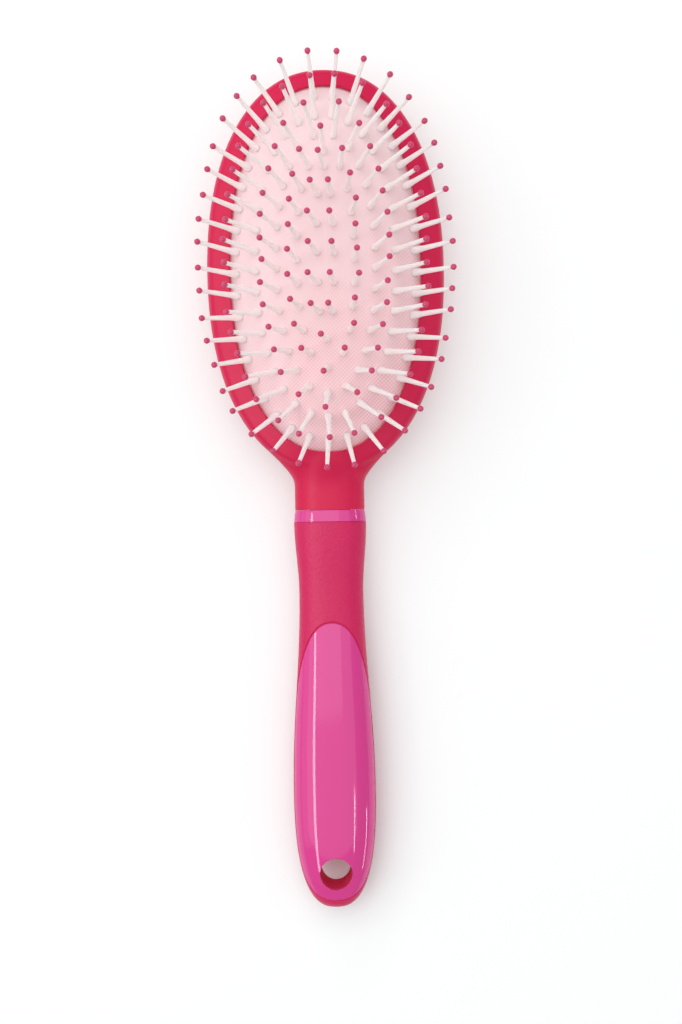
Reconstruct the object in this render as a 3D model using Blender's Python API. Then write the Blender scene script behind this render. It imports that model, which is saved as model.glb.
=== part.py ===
"""Oval cushion hair brush, lying on its back with the pins up.

+Z points out of the pin field and +Y from the handle to the toe of the head. The origin is the
centre of the flat on the back of the head, which the brush rests on. All sizes are in metres.
"""
import math

import bmesh
import bpy
from mathutils import Vector

# Clearance between pieces that seat on each other
FIT = 0.0003

# Head shell
HEAD_WIDTH = 0.0676
HEAD_LENGTH = 0.1156
OVAL_POWER = 2.2
BACK_FLAT_WIDTH = 0.030
BACK_FLAT_LENGTH = 0.056
HEAD_EDGE_HEIGHT = 0.0135
RIM_HEIGHT = 0.0190
RIM_ROUND = 0.0024
RIM_SLOPE_DROP = 0.0014
BACK_WALL = 0.0040
CHAMBER_FILLET = 0.0045

# Opening in the rim, and the groove under its lip that holds the cushion's edge
RIM_SIDE_WIDTH = 0.0066
RIM_END_WIDTH = 0.0057
PAD_WIDTH = HEAD_WIDTH - 2 * RIM_SIDE_WIDTH
PAD_LENGTH = HEAD_LENGTH - 2 * RIM_END_WIDTH
LIP_THICKNESS = 0.0014
LIP_CHAMFER = 0.0004
GROOVE_DEPTH = 0.0018
GROOVE_HEIGHT = 0.0024
LEDGE_OVERHANG = 0.0004

# Neck, the flare that joins it to the head, and the tang inside the handle
NECK_WIDTH = 0.0202
NECK_LENGTH = 0.0105
NECK_LOW = 0.0032
NECK_HIGH = 0.0164
SPINE_LENGTH = 0.022
FLARE_OVERLAP = 0.0092
FLARE_REACH = 0.0033
FLARE_HEAD_PULL = 0.0051
FLARE_NECK_PULL = 0.0031
FLARE_THICKNESS = 0.0046
TANG_WIDTH = 0.0120
TANG_HEIGHT = 0.0064
TANG_LENGTH = 0.036
SECTION_POWER = 2.3

# Cushion and its pins, row 1 being the outermost. Levels count rows in from row 1, and the fixed
# edge of the cushion ends at the edge level. Leans are in degrees from upright.
CUSHION_CROWN = 0.0080
CUSHION_SINK = 0.0006
CUSHION_THICKNESS = 0.0018
CROWN_POWER = 2.2
PINS_IN_ROW = (41, 37, 29, 20, 12)
EDGE_LEVEL = -0.2
ROW_EDGE_SIDE = 0.0021
ROW_EDGE_END = 0.0041
ROW_SIDE_PITCH = 0.0057
ROW_END_PITCH = 0.0060
INNER_ROW_TOE_SHIFT = 0.0031
PIN_LENGTH = 0.0180
PIN_LEANS_SIDE = (34.5, 29.0, 12.0, 5.0, 2.5)
PIN_LEANS_END = (32.0, 25.5, 18.0, 8.5, 2.5)
PIN_FOOT_RADIUS = 0.00105
PIN_FOOT_LENGTH = 0.0042
PIN_SHAFT_RADIUS = 0.00068
PIN_NECK_RADIUS = 0.00052
PIN_BALL_RADIUS = 0.00088
PIN_BALL_BAND = 0.45
PIN_EMBED = 0.0009

# Collar ring
COLLAR_LENGTH = 0.0034
COLLAR_FLARE = 0.00035
COLLAR_EDGE = 0.0004

# Handle: a collar end, a narrow waist, a wide belly and a round end
HANDLE_LENGTH = 0.1118
HANDLE_TOP_WIDTH = 0.0209
WAIST_FROM_TOP = 0.0202
WAIST_WIDTH = 0.0186
WAIST_LOW = 0.0034
WAIST_HIGH = 0.0156
BELLY_FROM_TOP = 0.0770
BELLY_WIDTH = 0.0239
BELLY_HIGH = 0.0165
END_POWER = 2.6

# Inlay in the front of the handle
INLAY_FROM_TOP = 0.0286
INLAY_RAMP = 0.0205
INLAY_PARTING = 0.0104
INLAY_BEND = 0.0060
INLAY_END_MARGIN = 0.0026
INLAY_END_RISE = 0.0022
INLAY_END_LENGTH = 0.0110
PEG_RADIUS = 0.0020
PEG_LENGTH = 0.0036
PEG_PITCH = 0.0280
PEG_FROM_HOLE = 0.0160

# Hang hole through the handle, and the boss of the grip round it that reaches up into the inlay
HOLE_DIAMETER = 0.0085
HOLE_FROM_END = 0.0108
HOLE_FLARE = 0.0011
HOLE_BOSS_WALL = 0.0016
HOLE_BOSS_RISE = 0.0018

# Mesh fineness
HEAD_SIDES = 56
BAR_SIDES = 28
ROW_SAMPLES = 64
CURVE_SAMPLES = 720
PIN_SIDES = 4
HOLE_SIDES = 24
ARC_STEPS = 5
MARGIN = 0.004


# Shape helpers

def oval_loop(half_width, half_length, height, sides=HEAD_SIDES):
    """Closed superellipse in a level plane, starting at the heel."""
    loop = []
    for index in range(sides):
        angle = -math.pi / 2 + 2 * math.pi * index / sides
        loop.append(Vector((
            half_width * signed_power(math.cos(angle), 2 / OVAL_POWER),
            half_length * signed_power(math.sin(angle), 2 / OVAL_POWER),
            height)))
    return loop


def section_loop(y, half_width, low, high):
    """Closed superellipse across a bar that runs along Y."""
    middle = (low + high) / 2
    half_height = (high - low) / 2
    loop = []
    for index in range(BAR_SIDES):
        angle = 2 * math.pi * (index + 0.5) / BAR_SIDES
        loop.append(Vector((
            half_width * signed_power(math.cos(angle), 2 / SECTION_POWER),
            y,
            middle + half_height * signed_power(math.sin(angle), 2 / SECTION_POWER))))
    return loop


def signed_power(value, power):
    return math.copysign(abs(value) ** power, value)


def eased(start, end, share):
    """Value between two others, with no slope at either end."""
    return start + (end - start) * (1 - math.cos(math.pi * share)) / 2


def bezier(values, share):
    """Value on a cubic curve with two end values and two pulls between them."""
    left = 1 - share
    start, start_pull, end_pull, end = values
    return (start * left ** 3 + 3 * start_pull * left ** 2 * share
            + 3 * end_pull * left * share ** 2 + end * share ** 3)


def add_loft(mesh, loops, closed=False, slots=None):
    """Skin through loops of points, with capped ends. A loop of one point is a tip."""
    rows = [[mesh.verts.new(point) for point in loop] for loop in loops]
    pairs = list(zip(rows, rows[1:]))
    if closed:
        pairs.append((rows[-1], rows[0]))
    faces = []
    for index, (low, high) in enumerate(pairs):
        count = max(len(low), len(high))
        for side in range(count):
            corners = [low[side % len(low)], low[(side + 1) % len(low)],
                       high[(side + 1) % len(high)], high[side % len(high)]]
            corners = list(dict.fromkeys(corners))
            face = mesh.faces.new(corners)
            if slots:
                face.material_index = slots[index]
            faces.append(face)
    if not closed:
        for end in (rows[0], rows[-1]):
            if len(end) > 2:
                faces.append(mesh.faces.new(end))
    bmesh.ops.recalc_face_normals(mesh, faces=faces)


def make_object(name, mesh, *materials):
    data = bpy.data.meshes.new(name)
    mesh.to_mesh(data)
    mesh.free()
    for material in materials:
        data.materials.append(material)
    data.shade_smooth()
    data.set_sharp_from_angle(angle=math.radians(35))
    thing = bpy.data.objects.new(name, data)
    bpy.context.collection.objects.link(thing)
    return thing


def lofted(name, loops, *materials, closed=False):
    mesh = bmesh.new()
    add_loft(mesh, loops, closed=closed)
    return make_object(name, mesh, *materials)


def combine(body, tool, operation):
    """Boolean of two solids, applied, after which the tool is gone."""
    modifier = body.modifiers.new(operation, 'BOOLEAN')
    modifier.operation = operation
    modifier.object = tool
    modifier.material_mode = 'TRANSFER'
    with bpy.context.temp_override(object=body, active_object=body):
        bpy.ops.object.modifier_apply(modifier=modifier.name)
    bpy.data.objects.remove(tool)


def carrier(name, location, parent=None):
    empty = bpy.data.objects.new(name, None)
    empty.location = location
    bpy.context.collection.objects.link(empty)
    if parent:
        attach(empty, parent)
    return empty


def attach(thing, parent):
    """Parent a piece and leave it where it is."""
    bpy.context.view_layer.update()
    thing.parent = parent
    thing.matrix_parent_inverse = parent.matrix_world.inverted()


def material(name, colour, roughness, coat=0.0):
    made = bpy.data.materials.new(name)
    made.use_nodes = True
    shader = made.node_tree.nodes['Principled BSDF']
    shader.inputs['Base Color'].default_value = (*colour, 1)
    shader.inputs['Roughness'].default_value = roughness
    shader.inputs['Metallic'].default_value = 0.0
    shader.inputs['Coat Weight'].default_value = coat
    return made


# Places along the brush

HEEL_Y = -HEAD_LENGTH / 2
NECK_END_Y = HEEL_Y - NECK_LENGTH
COLLAR_TOP_Y = NECK_END_Y - FIT
COLLAR_BOTTOM_Y = COLLAR_TOP_Y - COLLAR_LENGTH
HANDLE_TOP_Y = COLLAR_BOTTOM_Y - FIT
HANDLE_END_Y = HANDLE_TOP_Y - HANDLE_LENGTH
HOLE_Y = HANDLE_END_Y + HOLE_FROM_END


# Head shell

def rim_inset(share):
    """Half sizes between the head's outline (0) and the opening in its rim (1)."""
    return (HEAD_WIDTH / 2 - RIM_SIDE_WIDTH * share,
            HEAD_LENGTH / 2 - RIM_END_WIDTH * share)


def head_outside():
    """Flat back, round dome, rounded edge and a rim that slopes up to the opening."""
    loops = []
    for step in range(ARC_STEPS + 2):
        angle = math.pi / 2 * step / (ARC_STEPS + 1)
        loops.append(oval_loop(
            BACK_FLAT_WIDTH / 2 + (HEAD_WIDTH - BACK_FLAT_WIDTH) / 2 * math.sin(angle),
            BACK_FLAT_LENGTH / 2 + (HEAD_LENGTH - BACK_FLAT_LENGTH) / 2 * math.sin(angle),
            HEAD_EDGE_HEIGHT * (1 - math.cos(angle))))
    shoulder = RIM_HEIGHT - RIM_SLOPE_DROP
    round_share = RIM_ROUND / RIM_SIDE_WIDTH
    for step in range(1, ARC_STEPS):
        angle = math.pi / 2 * step / (ARC_STEPS - 1)
        width, length = rim_inset(round_share * (1 - math.cos(angle)))
        loops.append(oval_loop(
            width, length, HEAD_EDGE_HEIGHT + (shoulder - HEAD_EDGE_HEIGHT) * math.sin(angle)))
    slope = RIM_SLOPE_DROP / (1 - round_share)
    past_opening = MARGIN / RIM_SIDE_WIDTH
    width, length = rim_inset(1 + past_opening)
    loops.append(oval_loop(width, length, RIM_HEIGHT + slope * past_opening))
    return lofted('head_shell', loops, RASPBERRY)


def neck_and_tang():
    """Bar from under the dome to the neck's end, stepped down to the tang."""
    middle = (NECK_LOW + NECK_HIGH) / 2
    loops = []
    for y in (HEEL_Y + SPINE_LENGTH, NECK_END_Y):
        loops.append(section_loop(y, NECK_WIDTH / 2, NECK_LOW, NECK_HIGH))
    for y in (NECK_END_Y, NECK_END_Y - TANG_LENGTH):
        loops.append(section_loop(
            y, TANG_WIDTH / 2, middle - TANG_HEIGHT / 2, middle + TANG_HEIGHT / 2))
    return lofted('neck', loops, RASPBERRY)


def flare():
    """Web that leaves the head's outline without a corner and narrows to the neck."""
    start_y = HEEL_Y + FLARE_OVERLAP
    end_y = HEEL_Y - FLARE_REACH
    share = abs(start_y) / (HEAD_LENGTH / 2)
    rest = 1 - share ** OVAL_POWER
    start_half = HEAD_WIDTH / 2 * rest ** (1 / OVAL_POWER)
    end_half = NECK_WIDTH / 2 - FIT
    narrowing = HEAD_WIDTH / HEAD_LENGTH * (share / rest ** (1 / OVAL_POWER)) ** (OVAL_POWER - 1)
    halves = (start_half, start_half - narrowing * FLARE_HEAD_PULL, end_half, end_half)
    places = (start_y, start_y - FLARE_HEAD_PULL, end_y + FLARE_NECK_PULL, end_y)
    top = RIM_HEIGHT - RIM_SLOPE_DROP
    loops = []
    steps = 2 * ARC_STEPS
    for step in range(steps + 1):
        along = step / steps
        loops.append(section_loop(
            bezier(places, along),
            bezier(halves, along),
            eased(top - FLARE_THICKNESS, NECK_LOW + FIT, along),
            eased(top, NECK_HIGH - FIT, along)))
    return lofted('flare', loops, RASPBERRY)


def chamber():
    """Air chamber, ledge, groove and lip, as the solid that is cut from the head."""
    lip_bottom = RIM_HEIGHT - LIP_THICKNESS
    ledge = lip_bottom - GROOVE_HEIGHT
    levels = [
        (LIP_CHAMFER + MARGIN, RIM_HEIGHT + MARGIN),
        (0.0, RIM_HEIGHT - LIP_CHAMFER),
        (0.0, lip_bottom),
        (GROOVE_DEPTH, lip_bottom),
        (GROOVE_DEPTH, ledge),
        (-LEDGE_OVERHANG, ledge)]
    for step in range(ARC_STEPS):
        angle = math.pi / 2 * step / (ARC_STEPS - 1)
        levels.append((
            -LEDGE_OVERHANG - CHAMBER_FILLET * (1 - math.cos(angle)),
            BACK_WALL + CHAMBER_FILLET * (1 - math.sin(angle))))
    loops = [oval_loop(PAD_WIDTH / 2 + out, PAD_LENGTH / 2 + out, height) for out, height in levels]
    return lofted('chamber', loops, RASPBERRY)


def head_shell():
    shell = head_outside()
    combine(shell, neck_and_tang(), 'UNION')
    combine(shell, flare(), 'UNION')
    combine(shell, chamber(), 'DIFFERENCE')
    return shell


# Cushion and pins

def row_half_sizes(level):
    """Half sizes of a pin row's oval: level 0 is the outer row, 1 the next one in."""
    return (PAD_WIDTH / 2 - ROW_EDGE_SIDE - ROW_SIDE_PITCH * level,
            PAD_LENGTH / 2 - ROW_EDGE_END - ROW_END_PITCH * level)


def row_shift(level):
    """The inner rows lie nearer the toe."""
    return INNER_ROW_TOE_SHIFT * (max(level, 0) / (len(PINS_IN_ROW) - 1)) ** 3


def crown_height(level):
    """Height of the cushion's face on a row's oval."""
    share = (ROW_EDGE_SIDE + ROW_SIDE_PITCH * level) / (PAD_WIDTH / 2)
    edge = RIM_HEIGHT - CUSHION_SINK
    return edge + CUSHION_CROWN * (1 - (1 - share) ** CROWN_POWER)


def tip_reach(leans, level):
    """How far the tips of a row stand out from its feet, also between two rows."""
    level = min(max(level, 0), len(leans) - 1)
    row = min(int(level), len(leans) - 2)
    lean = leans[row] + (leans[row + 1] - leans[row]) * (level - row)
    return PIN_LENGTH * math.sin(math.radians(lean))


def row_curve(level):
    """Function from the share of the way round a row's oval, from the heel, to a point on it.

    The share is measured round the tips, because it is the tips that stand at even steps."""
    half_width, half_length = row_half_sizes(level)
    fine = oval_loop(half_width, half_length, crown_height(level), sides=CURVE_SAMPLES)
    fine = [point + Vector((0, row_shift(level), 0)) for point in fine]
    tips = oval_loop(half_width + tip_reach(PIN_LEANS_SIDE, level),
                     half_length + tip_reach(PIN_LEANS_END, level), 0.0, sides=CURVE_SAMPLES)
    lengths = [0.0]
    for index, point in enumerate(tips):
        lengths.append(lengths[-1] + (tips[(index + 1) % len(tips)] - point).length)

    def at(share):
        target = (share % 1.0) * lengths[-1]
        index = next(i for i, length in enumerate(lengths[1:]) if length >= target)
        part = (target - lengths[index]) / (lengths[index + 1] - lengths[index])
        return fine[index].lerp(fine[(index + 1) % len(fine)], part)

    return at, lengths[-1]


def shares_between(start, end, trim):
    """Shares of the way round at which a slice has a section, trimmed at both ends."""
    first, last = start + trim, end - trim
    inside = [index / ROW_SAMPLES for index in range(-ROW_SAMPLES, 2 * ROW_SAMPLES)]
    clear = 0.3 / ROW_SAMPLES
    return [first] + [share for share in inside if first + clear < share < last - clear] + [last]


def cushion_edge():
    """Rolled edge of the membrane: a flange in the groove and the first rise of the dome."""
    lip_bottom = RIM_HEIGHT - LIP_THICKNESS
    flange_low = lip_bottom - GROOVE_HEIGHT + FIT
    out = GROOVE_DEPTH - FIT
    inner_width, inner_length = row_half_sizes(EDGE_LEVEL)
    levels = [
        (PAD_WIDTH / 2 + out, PAD_LENGTH / 2 + out, flange_low),
        (PAD_WIDTH / 2 + out, PAD_LENGTH / 2 + out, lip_bottom - FIT),
        (PAD_WIDTH / 2 - FIT, PAD_LENGTH / 2 - FIT, lip_bottom - FIT),
        (PAD_WIDTH / 2 - FIT, PAD_LENGTH / 2 - FIT, RIM_HEIGHT - CUSHION_SINK),
        (inner_width + FIT, inner_length + FIT, crown_height(EDGE_LEVEL)),
        (inner_width + FIT, inner_length + FIT, crown_height(EDGE_LEVEL) - CUSHION_THICKNESS)]
    loops = [oval_loop(*level, sides=ROW_SAMPLES) for level in levels]
    return lofted('cushion_edge', loops, CUSHION_PINK, closed=True)


def pin_loops(foot, lean_direction, lean):
    """Sections of one pin: a tapered foot, a slim shaft and a ball tip."""
    axis = (lean_direction * math.sin(lean) + Vector((0, 0, 1)) * math.cos(lean)).normalized()
    across = axis.orthogonal().normalized()
    ball_middle = PIN_LENGTH - PIN_BALL_RADIUS
    band_half = PIN_BALL_RADIUS * PIN_BALL_BAND
    band_radius = PIN_BALL_RADIUS * math.sqrt(1 - PIN_BALL_BAND ** 2)
    profile = [
        (-PIN_EMBED, PIN_FOOT_RADIUS),
        (PIN_FOOT_LENGTH, PIN_SHAFT_RADIUS),
        (ball_middle - PIN_BALL_RADIUS, PIN_NECK_RADIUS),
        (ball_middle - band_half, band_radius),
        (ball_middle + band_half, band_radius)]
    loops = []
    for distance, radius in profile:
        loops.append([
            foot + axis * distance + radius * (
                across * math.cos(turn) + axis.cross(across) * math.sin(turn))
            for turn in (2 * math.pi * side / PIN_SIDES for side in range(PIN_SIDES))])
    loops.append([foot + axis * PIN_LENGTH])
    return loops


def pin_lean(row, outward):
    """Lean of a pin, between its row's lean at the sides and at the ends of the head."""
    side, end = PIN_LEANS_SIDE[row - 1], PIN_LEANS_END[row - 1]
    return math.radians(side + (end - side) * outward.y ** 2)


def row_pins(row, first, last):
    """The pins of one row from the first to the last number, counted from the heel."""
    count = PINS_IN_ROW[row - 1]
    at, _ = row_curve(row - 1)
    nudge = 1 / ROW_SAMPLES / 4
    mesh = bmesh.new()
    for number in range(first, last):
        share = number / count
        along = at(share + nudge) - at(share - nudge)
        outward = Vector((along.y, -along.x, 0)).normalized()
        loops = pin_loops(at(share), outward, pin_lean(row, outward))
        add_loft(mesh, loops, slots=(0, 0, 1, 1, 1))
    return make_object('pins', mesh, PIN_CREAM, TIP_PINK)


def cushion_slice(name, row, start, end):
    """Slice of the membrane under part of a row of pins, as wide as the row's pitch."""
    outer_level = EDGE_LEVEL if row == 1 else row - 1.5
    outer, outer_length = row_curve(outer_level)
    trim = FIT / 2 / outer_length
    wall = Vector((0, 0, CUSHION_THICKNESS))
    half_gap = FIT / 2
    shares = shares_between(start, end, 4 * trim)
    if row == len(PINS_IN_ROW):
        outline = [inset(outer(share), half_gap) for share in shares]
        return lofted(name, [[point - wall for point in outline], outline], CUSHION_PINK)
    inner, _ = row_curve(row - 0.5)
    loops = []
    for share in shares:
        outside = inset(outer(share), half_gap)
        inside = inset(inner(share), -half_gap)
        loops.append([outside, inside, inside - wall, outside - wall])
    return lofted(name, loops, CUSHION_PINK)


def inset(point, distance):
    """Move a point of a row's oval towards the middle of the cushion."""
    level = Vector((point.x, point.y, 0))
    return point - level.normalized() * distance


def pin_row(row):
    """One row of pins, in parts that are named for where they lie on the head."""
    count = PINS_IN_ROW[row - 1]
    places = ('heel', 'right', 'toe', 'left')
    if row == len(PINS_IN_ROW):
        places = ('heel', 'toe')
    turns = [(index + 0.5) / len(places) for index in range(len(places))]
    cuts = [math.ceil(count * turn - 0.5) for turn in turns]
    cuts = [cuts[-1] - count] + cuts
    parts = []
    for place, first, last in zip(places, cuts, cuts[1:]):
        part = cushion_slice(
            f'pin_row_{row}_{place}', row, (first - 0.5) / count, (last - 0.5) / count)
        combine(part, row_pins(row, first, last), 'UNION')
        parts.append(part)
    return parts


# Collar ring

def collar_ring():
    """Slightly conical ring, threaded on the tang between the neck and the grip."""
    middle = (NECK_LOW + NECK_HIGH) / 2
    loops = []
    for y, grow in (
            (COLLAR_TOP_Y, -COLLAR_EDGE),
            (COLLAR_TOP_Y - COLLAR_EDGE, 0.0),
            (COLLAR_BOTTOM_Y + COLLAR_EDGE, COLLAR_FLARE),
            (COLLAR_BOTTOM_Y, COLLAR_FLARE - COLLAR_EDGE)):
        loops.append(section_loop(
            y, NECK_WIDTH / 2 + grow, NECK_LOW - grow, NECK_HIGH + grow))
    for y in (COLLAR_BOTTOM_Y, COLLAR_TOP_Y):
        loops.append(section_loop(
            y, TANG_WIDTH / 2 + FIT,
            middle - TANG_HEIGHT / 2 - FIT, middle + TANG_HEIGHT / 2 + FIT))
    return lofted('collar_ring', loops, VIOLET, closed=True)


# Handle

def handle_section(y):
    """Half width, lowest and highest point of the handle at a place along it."""
    top = (HANDLE_TOP_WIDTH / 2, NECK_LOW - COLLAR_FLARE, NECK_HIGH + COLLAR_FLARE)
    waist = (WAIST_WIDTH / 2, WAIST_LOW, WAIST_HIGH)
    belly = (BELLY_WIDTH / 2, 0.0, BELLY_HIGH)
    down = HANDLE_TOP_Y - y
    if down <= WAIST_FROM_TOP:
        return tuple(eased(a, b, down / WAIST_FROM_TOP) for a, b in zip(top, waist))
    if down <= BELLY_FROM_TOP:
        share = (down - WAIST_FROM_TOP) / (BELLY_FROM_TOP - WAIST_FROM_TOP)
        return tuple(eased(a, b, share) for a, b in zip(waist, belly))
    share = min((down - BELLY_FROM_TOP) / (HANDLE_LENGTH - BELLY_FROM_TOP), 1.0)
    shrink = (1 - share ** END_POWER) ** (1 / END_POWER)
    middle = BELLY_HIGH / 2
    return (belly[0] * shrink, middle - middle * shrink, middle + middle * shrink)


def handle_solid(name, *materials):
    waist_steps, belly_steps, end_steps = 5, 9, 11
    downs = [WAIST_FROM_TOP * step / waist_steps for step in range(waist_steps)]
    span = BELLY_FROM_TOP - WAIST_FROM_TOP
    downs += [WAIST_FROM_TOP + span * step / belly_steps for step in range(belly_steps)]
    span = HANDLE_LENGTH - BELLY_FROM_TOP
    for step in range(end_steps):
        angle = math.pi / 2 * step / end_steps
        downs.append(BELLY_FROM_TOP + span * math.sin(angle) ** (2 / END_POWER))
    loops = [section_loop(HANDLE_TOP_Y - down, *handle_section(HANDLE_TOP_Y - down)) for down in downs]
    loops.append([Vector((0, HANDLE_END_Y, BELLY_HIGH / 2))])
    return lofted(name, loops, *materials)


def inlay_space(gap):
    """What the inlay takes from the front of the handle, with a gap all round it."""
    top_y = HANDLE_TOP_Y - INLAY_FROM_TOP
    top_z = handle_section(top_y)[2]
    parting = INLAY_PARTING - gap
    slope = (top_z - INLAY_PARTING) / INLAY_RAMP
    over = BELLY_HIGH + MARGIN
    outline = [(top_y + (over - top_z) / slope, over - gap)]
    for step in range(ARC_STEPS + 1):
        share = step / ARC_STEPS
        outline.append((
            top_y - INLAY_RAMP + INLAY_BEND * (1 - 2 * share),
            parting + slope * INLAY_BEND * (1 - share) ** 2))
    rise_y = HANDLE_END_Y + INLAY_END_MARGIN + INLAY_END_LENGTH
    beyond = 1 + (INLAY_END_MARGIN + MARGIN) / INLAY_END_LENGTH
    for step in range(2 * ARC_STEPS + 1):
        share = beyond * step / (2 * ARC_STEPS)
        outline.append((rise_y - INLAY_END_LENGTH * share, parting + INLAY_END_RISE * share ** 2))
    outline.append((outline[-1][0], over - gap))
    reach = BELLY_WIDTH / 2 + MARGIN
    loops = [[Vector((x, y, z)) for y, z in outline] for x in (-reach, reach)]
    return lofted('inlay_space', loops, VIOLET)


def post(name, y, radius, low, high):
    """Upright round bar."""
    loops = []
    for z in (low, high):
        loops.append([
            Vector((radius * math.cos(turn), y + radius * math.sin(turn), z))
            for turn in (2 * math.pi * side / HOLE_SIDES for side in range(HOLE_SIDES))])
    return lofted(name, loops, VIOLET)


def peg_places():
    first = HOLE_Y + PEG_FROM_HOLE
    return (first, first + PEG_PITCH)


def hole_bore():
    """Hang hole with a rounded mouth at the front and the back, square to the handle's faces."""
    _, low, high = handle_section(HOLE_Y)
    radius = HOLE_DIAMETER / 2
    fall = (handle_section(HOLE_Y + radius)[2] - handle_section(HOLE_Y - radius)[2]) / (2 * radius)
    levels = []
    for face, way in ((low, -1), (high, 1)):
        arc = []
        for step in range(ARC_STEPS):
            angle = math.pi / 2 * step / (ARC_STEPS - 1)
            arc.append((HOLE_FLARE * (1 - math.cos(angle)),
                        face - way * HOLE_FLARE * (1 - math.sin(angle)), way))
        arc.append((HOLE_FLARE, face + way * MARGIN, way))
        levels.append(arc)
    profile = levels[0][::-1] + levels[1]
    loops = []
    for grow, z, way in profile:
        loop = []
        for side in range(HOLE_SIDES):
            turn = 2 * math.pi * side / HOLE_SIDES
            along = (radius + grow) * math.sin(turn)
            loop.append(Vector((
                (radius + grow) * math.cos(turn), HOLE_Y + along, z + way * fall * along)))
        loops.append(loop)
    return lofted('hole_bore', loops, VIOLET)


def hole_boss(name, gap):
    """Tube of the grip that lines the hole up into the inlay."""
    radius = HOLE_DIAMETER / 2 + HOLE_BOSS_WALL
    return post(name, HOLE_Y, radius + gap,
                INLAY_PARTING - PEG_LENGTH, INLAY_PARTING + HOLE_BOSS_RISE + gap)


def handle_inlay():
    """Glossy front shell with pegs on its underside."""
    inlay = handle_solid('handle_inlay', VIOLET)
    combine(inlay, inlay_space(0.0), 'INTERSECT')
    for y in peg_places():
        peg = post('peg', y, PEG_RADIUS, INLAY_PARTING - PEG_LENGTH, INLAY_PARTING + PEG_RADIUS)
        combine(inlay, peg, 'UNION')
    combine(inlay, hole_boss('counterbore', FIT), 'DIFFERENCE')
    combine(inlay, hole_bore(), 'DIFFERENCE')
    return inlay


def handle_grip():
    """Soft-touch body with a socket for the tang and a seat for the inlay."""
    grip = handle_solid('handle_grip', GRIP_RASPBERRY)
    combine(grip, inlay_space(FIT), 'DIFFERENCE')
    for y in peg_places():
        socket = post('socket', y, PEG_RADIUS + FIT, INLAY_PARTING - PEG_LENGTH - FIT, BELLY_HIGH)
        combine(grip, socket, 'DIFFERENCE')
    combine(grip, hole_boss('boss', 0.0), 'UNION')
    combine(grip, hole_bore(), 'DIFFERENCE')
    middle = (NECK_LOW + NECK_HIGH) / 2
    loops = [
        section_loop(y, TANG_WIDTH / 2 + FIT,
                     middle - TANG_HEIGHT / 2 - FIT, middle + TANG_HEIGHT / 2 + FIT)
        for y in (HANDLE_TOP_Y + MARGIN, NECK_END_Y - TANG_LENGTH - FIT)]
    combine(grip, lofted('tang_socket', loops, GRIP_RASPBERRY), 'DIFFERENCE')
    return grip


# The brush

for leftover in list(bpy.data.objects):
    bpy.data.objects.remove(leftover)

RASPBERRY = material('raspberry_plastic', (0.66, 0.032, 0.105), 0.38)
GRIP_RASPBERRY = material('raspberry_soft_touch', (0.60, 0.028, 0.110), 0.62)
VIOLET = material('violet_pink_gloss', (0.70, 0.095, 0.32), 0.20, coat=0.8)
CUSHION_PINK = material('cushion_rubber', (0.90, 0.64, 0.68), 0.65)
PIN_CREAM = material('pin_nylon', (0.93, 0.84, 0.79), 0.40)
TIP_PINK = material('pin_tip', (0.62, 0.045, 0.150), 0.32)

brush = carrier('brush', (0, 0, 0))
for piece in (head_shell(), cushion_edge(), collar_ring(), handle_grip(), handle_inlay()):
    attach(piece, brush)

for row_number in range(1, len(PINS_IN_ROW) + 1):
    seat = (0, row_shift(row_number - 1), crown_height(row_number - 1))
    row_carrier = carrier(f'row_{row_number}', seat, brush)
    for piece in pin_row(row_number):
        attach(piece, row_carrier)
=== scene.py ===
"""Looks of an oval cushion hair brush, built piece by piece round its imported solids.

The brush lies on its back with the pins up (+Z), its toe towards +Y. Sizes are in metres.
"""

import math
import random

import bpy
from mathutils import Matrix, Vector


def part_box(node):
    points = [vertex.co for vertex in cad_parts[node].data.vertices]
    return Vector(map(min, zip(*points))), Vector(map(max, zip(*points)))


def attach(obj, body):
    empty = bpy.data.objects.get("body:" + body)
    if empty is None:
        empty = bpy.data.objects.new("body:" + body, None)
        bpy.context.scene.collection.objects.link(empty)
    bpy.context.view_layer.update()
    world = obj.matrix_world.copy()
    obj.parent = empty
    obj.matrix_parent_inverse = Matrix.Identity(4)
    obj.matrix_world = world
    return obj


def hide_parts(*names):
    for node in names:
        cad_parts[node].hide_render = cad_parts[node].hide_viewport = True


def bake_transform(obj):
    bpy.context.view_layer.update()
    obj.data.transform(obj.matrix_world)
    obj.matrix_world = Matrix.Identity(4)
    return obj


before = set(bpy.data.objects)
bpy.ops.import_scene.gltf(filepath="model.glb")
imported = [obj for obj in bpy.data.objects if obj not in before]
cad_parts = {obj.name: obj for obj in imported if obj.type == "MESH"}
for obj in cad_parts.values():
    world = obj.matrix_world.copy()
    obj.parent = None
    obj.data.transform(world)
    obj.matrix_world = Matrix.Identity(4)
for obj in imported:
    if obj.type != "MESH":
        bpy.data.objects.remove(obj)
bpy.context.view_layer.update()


# Head shell
# One raspberry moulding in satin plastic: a domed oval bowl with a broad sloping rim, a flare and
# a neck. It comes out of one mould, so the neck grows from the rim without an edge.

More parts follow.
